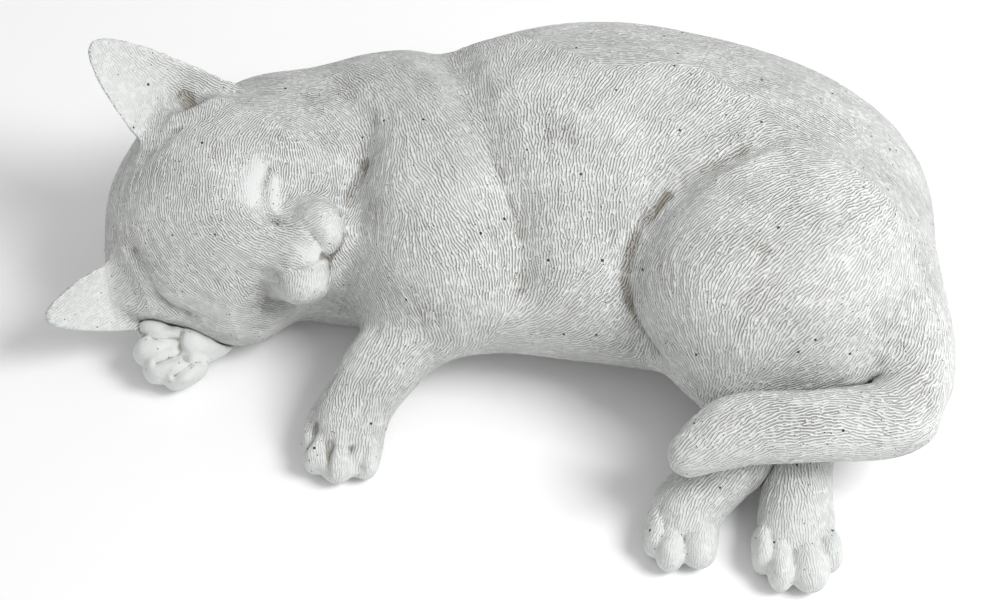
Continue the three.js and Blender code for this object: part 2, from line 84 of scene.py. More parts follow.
# %% Camera
CAMERA_AIM = (0, 0, 40)
CAMERA_AWAY = 1.0
CAMERA_RISE = math.radians(50)
CAMERA_LENS = 81.8
CAMERA_SENSOR = 36
line_of_sight = Vector((0, -math.cos(CAMERA_RISE), math.sin(CAMERA_RISE)))
camera_data = bpy.data.cameras.new("photo_camera")
camera_data.lens = CAMERA_LENS
camera_data.sensor_width = CAMERA_SENSOR
camera = bpy.data.objects.new("photo_camera", camera_data)
camera.location = place(*CAMERA_AIM) + CAMERA_AWAY * line_of_sight
camera.rotation_euler = (math.pi / 2 - CAMERA_RISE, 0, 0)
bpy.context.scene.collection.objects.link(camera)
bpy.context.scene.camera = camera
print("camera at", [round(c, 3) for c in camera.location])

# %% [markdown]
# ## Shader sums in Python
#
# A finish is easiest to read as a formula. The class below holds one output socket and turns each Python
# operator into a Math node, so `1 - mask` or `noise * 0.2` builds the node tree as it is written. Any other
# node comes from `Finish.node`, which sets the node's own settings first and then its sockets.


# %% Shader helper
class Wire:
    """An output socket that takes part in sums."""

    def __init__(self, finish, socket):
        self.finish = finish
        self.socket = socket

    def sum(self, operation, first, second):
        return self.finish.node("ShaderNodeMath", {"operation": operation}, {0: first, 1: second})

    def __add__(self, other):
        return self.sum("ADD", self, other)

    def __radd__(self, other):
        return self.sum("ADD", other, self)

    def __sub__(self, other):
        return self.sum("SUBTRACT", self, other)

    def __rsub__(self, other):
        return self.sum("SUBTRACT", other, self)

    def __mul__(self, other):
        return self.sum("MULTIPLY", self, other)

    def __rmul__(self, other):
        return self.sum("MULTIPLY", other, self)


class Finish:
    """A node tree under construction, for a material or the world."""

    def __init__(self, tree):
        self.tree = tree
        self.tree.nodes.clear()

    def node(self, kind, settings=None, sockets=None, output=0):
        made = self.tree.nodes.new(kind)
        for name, value in (settings or {}).items():
            setattr(made, name, value)
        for name, value in (sockets or {}).items():
            if isinstance(value, Wire):
                self.tree.links.new(value.socket, made.inputs[name])
            else:
                made.inputs[name].default_value = value
        return Wire(self, made.outputs[output]) if made.outputs else made

    def mix(self, share, first, second):
        """A colour between two colours."""
        sockets = {0: share, 6: first, 7: second}
        return self.node("ShaderNodeMix", {"data_type": "RGBA"}, sockets, output=2)

    def between(self, value, low, high):
        """A value spread from 0 at low to 1 at high, and held there."""
        sockets = {"Value": value, "From Min": low, "From Max": high}
        return self.node("ShaderNodeMapRange", {"interpolation_type": "SMOOTHSTEP"}, sockets)


def new_material(name):
    material = bpy.data.materials.new(name)
    material.use_nodes = True
    return material, Finish(material.node_tree)


print("shader helper ready")

# %% [markdown]
# ## Floor and light
#
# The photograph is a cut-out on white, lit softly from the right, the front and above. A white floor keeps
# a faint shadow under the figure. One broad lamp, as soft as a window, and an even world share the light,
# so that a colour comes out about as it is written. The camera sees the world as white, but it lights less.

# %% Floor and light
FLOOR_REACH = 6.0
FLOOR_SQUARES = 8
PAPER_GRAIN = 40
PAPER_DULL = (0.97, 0.97, 0.97, 1)
WHITE = (1, 1, 1, 1)
WORLD_SHARE = 0.55
WINDOW_SPOT = (1.05, -0.45, 1.35)
WINDOW_AIM = (0, 0, 0.05)
WINDOW_WIDTH = 0.7
WINDOW_POWER = 22.5
floor_shape = bmesh.new()
bmesh.ops.create_grid(
    floor_shape, x_segments=FLOOR_SQUARES, y_segments=FLOOR_SQUARES, size=FLOOR_REACH
)
floor_mesh = bpy.data.meshes.new("studio_floor")
floor_shape.to_mesh(floor_mesh)
floor_shape.free()
floor = bpy.data.objects.new("studio_floor", floor_mesh)
bpy.context.scene.collection.objects.link(floor)

paper, sheet = new_material("white_paper")
paper_grain = sheet.node("ShaderNodeTexNoise", sockets={"Scale": PAPER_GRAIN})
paper_tone = sheet.mix(paper_grain, PAPER_DULL, WHITE)
paper_face = sheet.node("ShaderNodeBsdfPrincipled", sockets={"Base Color": paper_tone, "Roughness": 1.0})
sheet.node("ShaderNodeOutputMaterial", sockets={"Surface": paper_face})
floor_mesh.materials.append(paper)

world = bpy.data.worlds.new("studio")
world.use_nodes = True
bpy.context.scene.world = world
room = Finish(world.node_tree)
seen = room.node("ShaderNodeLightPath", output="Is Camera Ray")
glossy = room.node("ShaderNodeLightPath", output="Is Glossy Ray")
through = room.node("ShaderNodeLightPath", output="Is Transmission Ray")
level = room.between(seen + glossy + through, 0, 1) * (1 - WORLD_SHARE) + WORLD_SHARE
sky = room.node("ShaderNodeBackground", sockets={"Color": WHITE, "Strength": level})
room.node("ShaderNodeOutputWorld", sockets={"Surface": sky})


def soft_lamp(name, spot, aim, width, power):
    lamp = bpy.data.lights.new(name, "AREA")
    lamp.size = width
    lamp.energy = power
    holder = bpy.data.objects.new(name, lamp)
    holder.location = spot
    holder.rotation_euler = (Vector(aim) - Vector(spot)).to_track_quat("-Z", "Y").to_euler()
    bpy.context.scene.collection.objects.link(holder)


soft_lamp("window", WINDOW_SPOT, WINDOW_AIM, WINDOW_WIDTH, WINDOW_POWER)
bpy.context.scene.view_settings.view_transform = "Standard"
print("floor, world and lamp ready")

# %% [markdown]
# ## Fusing the castings
#
# The solids have flat facets, and hairline gaps at the joints. Sculptors meet the same thing when they
# import a model to carve on: they fuse it into one even skin of small squares first. A subdivision surface
# rounds the facets, with creases where the solids are sharp, and a voxel remesh then fuses what touches.
# The paws that only lie beside another part get a skin of their own, so that nothing bridges the gap.

# %% Fused skins
SHARP = math.radians(42)
BASE_SINK = 3 * MM
VOXEL = 0.93 * MM
PAW_VOXEL = 0.6 * MM
MERGE_REACH = 1e-6
ON_FLOOR = 1e-5
FACET_BEND = 0.4
FACET_SKEW = 0.9
TAIL_ROOT = (170, -68, 52)
TAIL_ACROSS = (-0.7, -0.71, 0)
TAIL_SLIM = 2.0 * MM
TAIL_FADE = 5 * MM


def merged_copy(name):
    """A casting's own mesh, merged. The tail is drawn in past its joint, to stay clear of the thigh."""
    shape = bmesh.new()
    shape.from_mesh(castings[name].data)
    bmesh.ops.remove_doubles(shape, verts=shape.verts, dist=MERGE_REACH)
    if name == "tail":
        shape.normal_update()
        middle, across = place(*TAIL_ROOT), Vector(TAIL_ACROSS).normalized()
        for vertex in shape.verts:
            past = (vertex.co - middle).dot(across) / TAIL_FADE
            vertex.co -= vertex.normal * TAIL_SLIM * min(max(past, 0), 1)
    mesh = bpy.data.meshes.new("merged_copy")
    shape.to_mesh(mesh)
    shape.free()
    return mesh


def rough_block(names):
    """Copies of castings in one mesh: facets paired up, edges creased and the underside drawn down."""
    shape = bmesh.new()
    for name in names:
        shape.from_mesh(merged_copy(name))
    bmesh.ops.join_triangles(
        shape, faces=shape.faces, angle_face_threshold=FACET_BEND, angle_shape_threshold=FACET_SKEW
    )
    crease = shape.edges.layers.float.new("crease_edge")
    for edge in shape.edges:
        if edge.is_manifold and edge.calc_face_angle() > SHARP:
            edge[crease] = 1
    for vertex in shape.verts:
        if vertex.co.z < ON_FLOOR:
            vertex.co.z -= BASE_SINK
    mesh = bpy.data.meshes.new("rough_block")
    shape.to_mesh(mesh)
    shape.free()
    return mesh


def fused(names, voxel):
    """One even skin round several castings."""
    block = bpy.data.objects.new("rough_block", rough_block(names))
    bpy.context.scene.collection.objects.link(block)
    rounding = block.modifiers.new("rounding", "SUBSURF")
    rounding.levels = rounding.render_levels = 2
    fusing = block.modifiers.new("fusing", "REMESH")
    fusing.mode = "VOXEL"
    fusing.voxel_size = voxel
    ready = block.evaluated_get(bpy.context.evaluated_depsgraph_get())
    mesh = bpy.data.meshes.new_from_object(ready)
    bpy.data.objects.remove(block)
    return mesh


FUSED_SECTIONS = [
    "head", "left_ear", "right_ear", "shoulders", "barrel", "haunches", "left_foreleg", "tail",
]
FREE_PAWS = ["right_foreleg", "left_hind_foot", "right_hind_foot"]
body_mesh = fused(FUSED_SECTIONS, VOXEL)
print("fused skin", len(body_mesh.vertices), "points")

# %% [markdown]
# ## Carving with arrays
#
# The skin has hundreds of thousands of points, so the carving is done on arrays: one class holds the
# points and squares, finds the normals, relaxes the surface as a smoothing brush does, and pushes points
# in or out along their normals.


# %% Skin
TINY = 1e-12
SMOOTHING = 0.5
FIRST_SMOOTHING_TIMES = 8


def same_side(one, other):
    """1 where two directions lie on the same side, and -1 where they are opposed."""
    return np.where((one * other).sum(axis=-1) < 0, -1, 1)


class Skin:
    """A fused skin as arrays, in the maker's millimetres."""

    def __init__(self, mesh):
        self.mesh = mesh
        flat = np.empty(len(mesh.vertices) * 3, np.float32)
        mesh.vertices.foreach_get("co", flat)
        self.points = (flat.reshape(-1, 3).astype(float) - np.array(ORIGIN)) / MM
        self.count = len(self.points)
        corners = np.empty(len(mesh.loops), np.int32)
        mesh.loops.foreach_get("vertex_index", corners)
        self.squares = corners.reshape(-1, 4)
        edges = np.empty(len(mesh.edges) * 2, np.int32)
        mesh.edges.foreach_get("vertices", edges)
        one, other = edges.reshape(-1, 2).T
        self.start = np.concatenate([one, other])
        self.end = np.concatenate([other, one])
        self.marks = {}
        self.turn = self.hair = None

    def relax(self, times, share=SMOOTHING):
        """Moves points towards the mean of their neighbours, where the share is above zero."""
        share = np.broadcast_to(share, self.count)
        kept = share[self.start] > 0
        start, end = self.start[kept], self.end[kept]
        degree = np.maximum(np.bincount(start, minlength=self.count), 1)
        for _ in range(times):
            for axis in range(3):
                line = self.points[:, axis]
                mean = np.bincount(start, line[end], self.count) / degree
                self.points[:, axis] = line + np.where(share > 0, (mean - line) * share, 0)

    def normals(self):
        a, b, c, d = (self.points[self.squares[:, n]] for n in range(4))
        faces = np.cross(c - a, d - b)
        total = np.zeros_like(self.points)
        for n in range(4):
            for axis in range(3):
                total[:, axis] += np.bincount(self.squares[:, n], faces[:, axis], self.count)
        return total / np.maximum(np.linalg.norm(total, axis=1, keepdims=True), TINY)

    def push(self, amount):
        self.points += self.normals() * amount[:, None]

    def hair_at_corners(self):
        """The phase of the hair waves at the corners of each square, without a jump inside the square."""
        first, corners = self.squares[:, :1], self.squares
        side = same_side(self.turn[first], self.turn[corners])
        between = (self.turn[first] + side[..., None] * self.turn[corners]) / 2
        guess = self.hair[first] + ((self.points[corners] - self.points[first]) * between).sum(axis=2)
        return guess + np.angle(np.exp(1j * (side * self.hair[corners] - guess)))

    def write(self):
        flat = self.points * MM + np.array(ORIGIN)
        self.mesh.vertices.foreach_set("co", flat.astype(np.float32).ravel())
        for name, values in self.marks.items():
            layer = self.mesh.attributes.new(name, "FLOAT", "POINT")
            layer.data.foreach_set("value", values.astype(np.float32))
        layer = self.mesh.attributes.new("hair", "FLOAT", "CORNER")
        layer.data.foreach_set("value", self.hair_at_corners().astype(np.float32).ravel())
        self.mesh.update()


body = Skin(body_mesh)
body.relax(FIRST_SMOOTHING_TIMES)
print("skin", body.count, "points,", len(body.squares), "squares")

# %% [markdown]
# ## Joints
#
# A joint is a flat cut: a point on it, the direction across it, and how far the cut reaches round that
# point, so that the tail's cut doesn't mark the thigh beside it. The castings meet along hairlines there,
# which a mason would point up and rub smooth, so the skin is relaxed in a band along each cut.

# %% Joints
JOINTS = {
    "neck": (tuple(NECK_DOWEL_PLACE), (0.972, 0, -0.233), 150),
    "shoulder": ((-5, 48, 48), (0.968, 0.251, 0), 150),
    "loin": ((77, 48, 50), (0.943, -0.333, 0), 150),
    "elbow": ((-46, -24, 26), (-0.68, -0.62, -0.39), 27),
    "tail": (TAIL_ROOT, TAIL_ACROSS, 21),
    "left_ear": ((-156.1, 72.2, 93.1), (-0.683, 0.125, 0.72), 40),
    "right_ear": ((-174.2, 6.4, 36.2), (-0.842, -0.514, 0.164), 34),
}
FORELEG_EDGE = -22
SOFT_BAND = 9
SOFT_TIMES = 40
SOFT_EDGE = 1.5
SOFT_JOINTS = ["neck", "shoulder", "loin", "elbow", "tail"]


def ease(value):
    """A share from 0 to 1 with soft ends."""
    held = np.clip(value, 0, 1)
    return held * held * (3 - 2 * held)


def at_joint(points, name):
    """Distance across a joint, and which points its cut can reach."""
    middle, across, reach = JOINTS[name]
    offset = points - np.array(middle)
    depth = offset @ (np.array(across) / np.linalg.norm(across))
    reached = np.linalg.norm(offset, axis=1) < reach
    if name == "neck":
        reached &= points[:, 1] > FORELEG_EDGE
    return depth, reached


def soften(skin, names):
    for name in names:
        depth, reached = at_joint(skin.points, name)
        skin.relax(SOFT_TIMES, SMOOTHING * reached * ease(SOFT_EDGE - np.abs(depth) / SOFT_BAND))


TAIL_AXIS = [TAIL_ROOT, (160, -76, 52), (128, -79, 53), (96, -81, 52), (78, -89, 47)]
TAIL_GIRTH = [16.8, 16.3, 15.5, 15.5, 10.5]
TAIL_REACH = 1.2


def above_tail(points):
    """How far points lie off the skin of the tail, below zero inside it."""
    best = np.full(len(points), np.inf)
    for n, one in enumerate(TAIL_AXIS[:-1]):
        along = np.subtract(TAIL_AXIS[n + 1], one)
        share = np.clip((points - one) @ along / (along @ along), 0, 1)
        girth = TAIL_GIRTH[n] + share * (TAIL_GIRTH[n + 1] - TAIL_GIRTH[n])
        best = np.minimum(best, np.linalg.norm(points - one - share[:, None] * along, axis=1) - girth)
    return best


tail_depth, _ = at_joint(body.points, "tail")
on_tail = (above_tail(body.points) < 0) & (tail_depth > 0)
body.push(TAIL_SLIM / MM * on_tail * np.clip(tail_depth * MM / TAIL_FADE, 0, 1))
soften(body, SOFT_JOINTS)

# %% [markdown]
# ## Brushes
#
# A carving stroke follows a path and has a width and a depth, like a gouge. It is worked out as the
# distance of each point from the path, turned into a smooth share. The face is drawn in the head's own
# frame, with x to the cat's left, y to its crown and z out of the face, so a stroke can be mirrored.

# %% Brushes
HEAD_CENTRE = np.array([-129, 37, 50])
HEAD_AXES = np.array([[0.29, 0.733, 0.615], [-0.829, -0.13, 0.544], [0.479, -0.668, 0.570]])
FACE_FRONT = 18
FACE_FADE = 6
HEAD_END = -40


def near(points, path, width):
    """How close points are to a path, from 1 on it to 0 at its width."""
    path = np.array(path, float)
    best = np.full(len(points), np.inf)
    for a, b in zip(path[:-1], path[1:]):
        along = b - a
        share = np.clip((points - a) @ along / max(along @ along, TINY), 0, 1)
        best = np.minimum(best, np.linalg.norm(points - a - share[:, None] * along, axis=1))
    return ease(1 - best / width)


def carve(skin, strokes):
    """Pushes the skin by strokes: each a path, a width and a height, below zero where the gouge cuts in."""
    skin.push(sum(height * near(skin.points, path, width) for path, width, height in strokes))


class Face:
    """The head's points in its own frame, and strokes drawn on one or both sides of it."""

    def __init__(self, skin):
        self.skin = skin
        self.found = np.flatnonzero(skin.points[:, 0] < HEAD_END)
        own = (skin.points[self.found] - HEAD_CENTRE) @ HEAD_AXES.T
        self.flat = own[:, :2]
        self.front = ease((own[:, 2] - FACE_FRONT) / FACE_FADE)

    def share(self, path, width, sides=(1, -1)):
        total = np.zeros(len(self.found))
        for side in sides:
            drawn = [(side * x, y) for x, y in path]
            total = np.maximum(total, near(self.flat, drawn, width))
        return total * self.front

    def whole(self, values):
        full = np.zeros(self.skin.count)
        full[self.found] = values
        return full


print("brushes ready")

# %% [markdown]
# ## Folds
#
# The loose skin of a sleeping cat folds behind the shoulder blade, at the neck and in front of the thigh.
# Each fold is a broad hollow with a narrow one inside it, the way a rounded gouge and then a veiner would
# cut it, and two soft wrinkles lie over the top of the thigh. Strokes on the foreleg fill the forearm out
# and part its toes.

# %% Folds
SHOULDER_FOLD = [
    (-29, 122, 52), (-25, 106, 80), (-21, 94, 94), (-13, 67, 100), (-5, 39, 100), (2, 16, 97),
    (8, 1, 89), (11, -11, 79), (9, -20, 69),
]
NECK_FOLD = [(-74, 89, 86), (-66, 72, 89), (-60, 56, 86), (-60, 43, 81), (-65, 32, 77), (-66, 17, 76)]
THIGH_FOLD = [
    (115, 33, 107), (100, 26, 107), (85, 18, 105), (71, 9, 99), (59, -2, 92), (54, -12, 83), (52, -20, 77),
    (54, -27, 69), (59, -35, 59), (66, -41, 51),
]
FOLDS = [
    (SHOULDER_FOLD, 15, -2.6),
    (SHOULDER_FOLD[:3], 20, -3.2),
    (SHOULDER_FOLD[4:], 5, -0.7),
    (NECK_FOLD, 11, -2.0),
    (NECK_FOLD[3:], 5, -1.0),
    (THIGH_FOLD[1:], 13, -2.2),
    (THIGH_FOLD[3:], 4, -1.3),
    ([(84, 12, 104), (97, 12, 109), (110, 18, 110), (123, 25, 109)], 8, 1.6),
    ([(81, 22, 106), (94, 29, 108), (107, 38, 109)], 8, 1.3),
]
FORELEG_STROKES = [
    ([(-62, -26, 36), (-66, -38, 30), (-72, -48, 24)], 14, 3.0),
    ([(-79, -53, 19), (-82, -60, 18), (-85, -63, 14)], 3.5, -2.4),
    ([(-73, -63, 18), (-75, -71, 16), (-76, -76, 10)], 3.5, -2.6),
    ([(-58, -66, 19), (-60, -71, 15), (-61, -76, 8)], 3.5, -2.4),
]
FOLD_RUBS = 3
carve(body, FOLDS + FORELEG_STROKES)
body.relax(FOLD_RUBS)
print("folds", len(FOLDS), "foreleg strokes", len(FORELEG_STROKES))

# %% [markdown]
# ## Ears
#
# An ear is a smooth shell that springs from the brow in a thick fold. The hollow where the rough block of
# the ear met the head is filled with a smoothing brush first. Then the fold is cut where it belongs, with
# the ear hole behind it, and a small lobe in front of the hole.

# %% Ears
EAR_FILLS = [
    ([(-156, 51, 88), (-154, 62, 88), (-152, 69, 89), (-145, 76, 89), (-136, 81, 87), (-128, 84, 85)], 9),
    ([(-173, 9, 49), (-172, 7, 41), (-170, 4, 37), (-167, 2, 29)], 9),
]
EAR_STROKES = [
    ([(-154, 43, 89), (-148, 46, 92), (-141, 52, 94)], 7, -1.5),
    ([(-141, 70, 92), (-138, 74, 90)], 9, -5.5),
    ([(-142, 58, 94), (-136, 60, 95), (-131, 65, 93), (-125, 74, 88)], 6, 2.4),
    ([(-130, 78, 90), (-122, 85, 84)], 6, 1.6),
    ([(-160, 7, 64), (-157, 3, 61), (-154, 0, 56), (-151, -4, 47), (-145, -6, 41), (-138, -7, 38)], 7, -2.6),
    ([(-166, 3, 55), (-163, 1, 48), (-160, 0, 41)], 9, -1.4),
    ([(-164, -1, 34), (-156, -4, 36), (-148, -6, 34)], 8, 1.6),
]
LEFT_EAR = ((-129, 64, 75), (-178, 73, 126), (0.578, -0.509, 0.637))
RIGHT_EAR = ((-148, 16, 35), (-198, -14, 44), (0.518, -0.687, 0.509))
EAR_ROUND = 36
EAR_START = 0.3
EAR_FADE = 0.15
EAR_FACING = 0.3
EAR_FILL_TIMES = 90
EAR_RUBS = 2


def in_ear(skin, ear):
    """Which points lie on the hollow side of an ear."""
    root, tip, hollow = (np.array(part, float) for part in ear)
    along = tip - root
    share = (skin.points - root) @ along / (along @ along)
    off = np.linalg.norm(skin.points - root - share[:, None] * along, axis=1)
    facing = ease(skin.normals() @ hollow / EAR_FACING)
    return ease((share - EAR_START) / EAR_FADE) * facing * (off < EAR_ROUND)


for path, width in EAR_FILLS:
    body.relax(EAR_FILL_TIMES, SMOOTHING * near(body.points, path, width))
carve(body, EAR_STROKES)
body.relax(EAR_RUBS)
ear_share = in_ear(body, LEFT_EAR) + in_ear(body, RIGHT_EAR)
print("ears", int((ear_share > 0.5).sum()), "smooth points")

# %% [markdown]
# ## The face
#
# The eyes are closed: a fine slit between a broad upper lid and a small lower one on the left, and only a
# soft swelling on the right. The nose is a blunt triangle between two full whisker pads, with the mouth
# running under them. Each stroke is a path in the head's frame, a width and a height, below zero where the
# gouge cuts in. The muzzle's strokes are mirrored, and the eyes' are kept as drawn.

# %% Face
SLIT = [(9, -7), (10.5, -4.2), (14, -2.8), (18, -2.4), (24.5, -2.2), (30, -3)]
UPPER_LID = [(15, 3), (21, 4.5), (28, 2.5)]
LOWER_LID = [(15, -6.2), (20, -6.8), (25, -5.6)]
EYE_STROKES = [
    (UPPER_LID, 9, 1.0),
    (LOWER_LID, 4.5, 0.8),
    (SLIT, 2.6, -1.7),
    ([(8.5, -8.5), (9.5, -6)], 3.2, -1.6),
]
PAD_EDGE = [(12, -35.5), (18, -34), (24, -29), (25, -21), (20, -14.5), (14, -11.5)]
MOUTH_LINES = [
    ([(9, -18), (4.5, -24.5), (0, -28.5)], 2.4, -1.2),
    ([(0, -28), (0, -33.5)], 2.4, -1.5),
    ([(0, -33.5), (5, -35), (12, -35.5)], 3.0, -1.6),
]
MUZZLE_STROKES = [([(11, -27), (14, -23)], 15, 3.0), (PAD_EDGE, 5, -1.6), *MOUTH_LINES]
RIGHT_EYE = [(-28, -3), (-21, -4), (-12, -5)]
RIGHT_EYE_TIMES = 120
RIGHT_EYE_WIDTHS = (11, 9)
RIGHT_EYE_HEIGHT = 1.2
FACE_RUBS = 2
NOSE = [(0, -17), (0, -25)]
PADS = [(11, -27), (13, -25)]
TEAR_LINE = [(8.5, -8), (9.5, -6)]
BROW_TO_CHIN = [(0, 2), (0, -40)]
AS_DRAWN = [1]
face = Face(body)
smoothed_width, raised_width = RIGHT_EYE_WIDTHS
right_lid = SMOOTHING * face.share(RIGHT_EYE, smoothed_width, AS_DRAWN)
body.relax(RIGHT_EYE_TIMES, face.whole(right_lid))
left_eye = sum(height * face.share(path, width, AS_DRAWN) for path, width, height in EYE_STROKES)
muzzle = sum(height * face.share(path, width) for path, width, height in MUZZLE_STROKES)
right_eye = RIGHT_EYE_HEIGHT * face.share(RIGHT_EYE, raised_width, AS_DRAWN)
body.push(face.whole(left_eye + right_eye + muzzle))
body.relax(FACE_RUBS)
upper_lid, lower_lid = face.share(UPPER_LID, 10, AS_DRAWN), face.share(LOWER_LID, 6, AS_DRAWN)
lid_share = face.whole(np.maximum(upper_lid, lower_lid))
nose_share = face.whole(face.share(NOSE, 8, AS_DRAWN))
pad_share = face.whole(face.share(PADS, 14))
# The face is kept free of painted shade and grime in its creases, except along the mouth lines and the tear
# line.
grime_and_shade_lines = sum(face.share(path, 3) for path, *_ in MOUTH_LINES)
grime_and_shade_lines = np.minimum(grime_and_shade_lines + face.share(TEAR_LINE, 4, AS_DRAWN), 1)
face_free_of_grime_and_shade = face.whole(face.share(BROW_TO_CHIN, 38, AS_DRAWN) * (1 - grime_and_shade_lines))
print("face strokes", len(EYE_STROKES) + len(MUZZLE_STROKES))

# %% [markdown]
# ## Combing the coat
#
# The coat is carved in short curved strokes, a little over a millimetre apart, which follow the lie of the
# fur. Drawing thousands of strokes one by one would be slow, and a plain noise has no direction. So the lie
# is given first, by about a hundred comb marks, each a place and an angle as seen from the front and
# above: 0 is across, 90 is down and 135 is down to the left. Elsewhere the lie is a mean of the marks
# around, the nearest counting most.

# %% Comb marks
COMB_MARKS = np.array([
    (-155, 40, 87, 92), (-159, 28, 81, 95), (-154, 13, 77, 68), (-151, 26, 87, 90), (-144, 6, 76, 55),
    (-136, 31, 94, 86), (-137, 14, 86, 92), (-128, 2, 78, 50), (-119, 34, 94, 95), (-117, 18, 89, 92),
    (-117, 53, 94, 112), (-109, 59, 91, 118), (-103, 76, 86, 5), (-89, 69, 87, 28), (-76, 55, 85, 58),
    (-68, 41, 81, 85), (-71, 30, 78, 108), (-77, 24, 82, 125), (-87, 34, 82, 95), (-83, 16, 84, 150),
    (-111, 3, 80, 45), (-102, 1, 78, 30), (-92, -3, 77, 20), (-121, -10, 52, 60), (-105, -7, 41, 30),
    (-86, -15, 61, 100), (-135, -8, 49, 50), (-114, -11, 33, 25), (-90, 5, 22, 160),
    (-54, 30, 85, 85), (-43, 14, 90, 60), (-46, 2, 83, 100), (-56, -2, 70, 45), (-66, -1, 42, 60),
    (-43, -17, 67, 60), (-30, -26, 51, 80), (-44, 76, 94, 60), (-30, 52, 99, 65), (-34, 21, 95, 60),
    (-21, -3, 90, 60), (-13, -24, 69, 85), (-9, 62, 102, 65), (0, 33, 101, 70), (8, 14, 96, 78),
    (17, -7, 87, 88), (25, 19, 103, 90), (38, 2, 97, 88), (44, -5, 92, 92), (22, 75, 107, 100),
    (43, 48, 110, 108), (60, 32, 108, 112), (45, 98, 103, 8), (89, 94, 101, 22), (106, 78, 104, 35),
    (82, 60, 110, 115), (92, 42, 110, 125), (99, 27, 107, 140), (83, 19, 104, 145), (136, 48, 104, 40),
    (151, 42, 99, 45), (172, 23, 89, 60), (114, 17, 111, 155), (70, 1, 97, 125), (83, -16, 106, 128),
    (97, -15, 111, 140), (124, -13, 113, 143), (152, -7, 107, 138), (166, -28, 90, 130), (61, -18, 88, 110),
    (63, -31, 81, 80), (65, -37, 77, 62), (70, -47, 69, 60), (83, -53, 77, 88), (96, -57, 80, 100),
    (108, -46, 99, 132), (136, -50, 93, 132), (151, -54, 76, 120), (175, -44, 73, 110), (185, -21, 71, 100),
    (28, -29, 58, 130), (44, -24, 73, 130), (14, -27, 47, 150), (26, -28, 40, 165), (55, -33, 66, 120),
    (-17, -27, 51, 90), (-35, -29, 39, 125), (-52, -38, 37, 118), (-60, -51, 29, 95), (-66, -63, 22, 95),
    (-71, -72, 12, 90), (-28, -25, 63, 90), (122, -86, 67, 175), (98, -83, 68, 145), (82, -88, 61, 135),
    (75, -94, 53, 140), (155, -82, 67, 10), (172, -70, 69, 140), (182, -57, 69, 120), (92, -93, 29, 130),
    (75, -101, 25, 110), (75, -114, 14, 100), (122, -95, 28, 88), (128, -114, 21, 80), (128, -127, 15, 85),
    (-162, 68, 102, 40), (-155, 67, 91, 80), (-144, 81, 98, 35), (-173, 4, 35, 140), (-184, -6, 40, 150),
], float)
ACROSS = np.array([1, 0, 0])
DOWN = np.array([0, -math.sin(CAMERA_RISE), -math.cos(CAMERA_RISE)])
COMB_CHUNK = 40000
COMB_SOFTNESS = 30


def lie_of_fur(skin):
    """The direction of the strokes at every point, along the surface. Angles are doubled while they are
    mixed, because a stroke has no front or back."""
    turn = np.radians(2 * COMB_MARKS[:, 3])
    doubled = np.stack([np.cos(turn), np.sin(turn)], axis=1)
    spots = COMB_MARKS[:, :3]
    mixed = np.empty((skin.count, 2))
    for first in range(0, skin.count, COMB_CHUNK):
        part = skin.points[first:first + COMB_CHUNK]
        apart = (part ** 2).sum(axis=1)[:, None] + (spots ** 2).sum(axis=1) - 2 * part @ spots.T
        mixed[first:first + COMB_CHUNK] = (1 / (np.maximum(apart, 0) + COMB_SOFTNESS) ** 2) @ doubled
    angle = np.arctan2(mixed[:, 1], mixed[:, 0]) / 2
    lie = np.cos(angle)[:, None] * ACROSS + np.sin(angle)[:, None] * DOWN
    normal = skin.normals()
    lie -= normal * (lie * normal).sum(axis=1, keepdims=True)
    return lie / np.maximum(np.linalg.norm(lie, axis=1, keepdims=True), TINY)


print("comb marks", len(COMB_MARKS))

# %% [markdown]
# ## Locks and hairs
#
# Two sizes of stroke lie on the coat. Locks are relief in the mesh: a noise is smeared along the lie of the
# fur, so that every point takes the mean along a short line in its own direction. Hairs are finer than the
# squares of the skin, so only the phase of a wave is stored, at the corners of each square, and the finish
# draws a groove once in every turn of it. The wave is a sum of short waves from random knots.

# %% Locks
GRAIN_SIDE = 64
GRAIN = np.random.default_rng(11).standard_normal(GRAIN_SIDE ** 3).astype(np.float32)
STROKE_STEPS = 11
STROKE_TAPER = 2.2


def grain(points):
    """A smooth random value at each point, the same on every run."""
    cell = np.floor(points).astype(np.int32)
    part = points - cell
    part = (part * part * (3 - 2 * part)).T
    near_side, far_side = (cell % GRAIN_SIDE).T, ((cell + 1) % GRAIN_SIDE).T
    value = np.zeros(len(points))
    for corner in np.ndindex(2, 2, 2):
        x, y, z = (far_side[n] if corner[n] else near_side[n] for n in range(3))
        u, v, w = (part[n] if corner[n] else 1 - part[n] for n in range(3))
        value += u * v * w * GRAIN[(x * GRAIN_SIDE + y) * GRAIN_SIDE + z]
    return value


def strokes(skin, lie, spacing, length):
    """Noise smeared along the lie of the fur, with a mean of 0 and a spread of 1."""
    total = np.zeros(skin.count)
    for step in np.linspace(-1, 1, STROKE_STEPS):
        weight = math.cos(step * math.pi / STROKE_TAPER)
        total += weight * grain((skin.points + lie * (step * length / 2)) * (2 / spacing))
    return (total - total.mean()) / total.std()


HOLLOW_SHARE = 0.9


def hollows(skin, times, scale):
    """How deep each point lies in a crease, in shares of a scale in millimetres."""
    normal = skin.normals()
    kept = skin.points.copy()
    skin.relax(times, HOLLOW_SHARE)
    depth = ((skin.points - kept) * normal).sum(axis=1)
    skin.points = kept
    return np.clip(depth / scale, -1, 1)


TOE_LINE = {"left_foreleg": -58, "hind": -100}
TOE_FADE = 28


def toes(points):
    """How near points are to the toes, where the carving fades: the feet reach furthest to the front."""
    line = np.where(points[:, 0] < 0, TOE_LINE["left_foreleg"], TOE_LINE["hind"])
    return ease((line - points[:, 1]) / TOE_FADE + 0.5)


print("locks", STROKE_STEPS, "steps along each stroke")

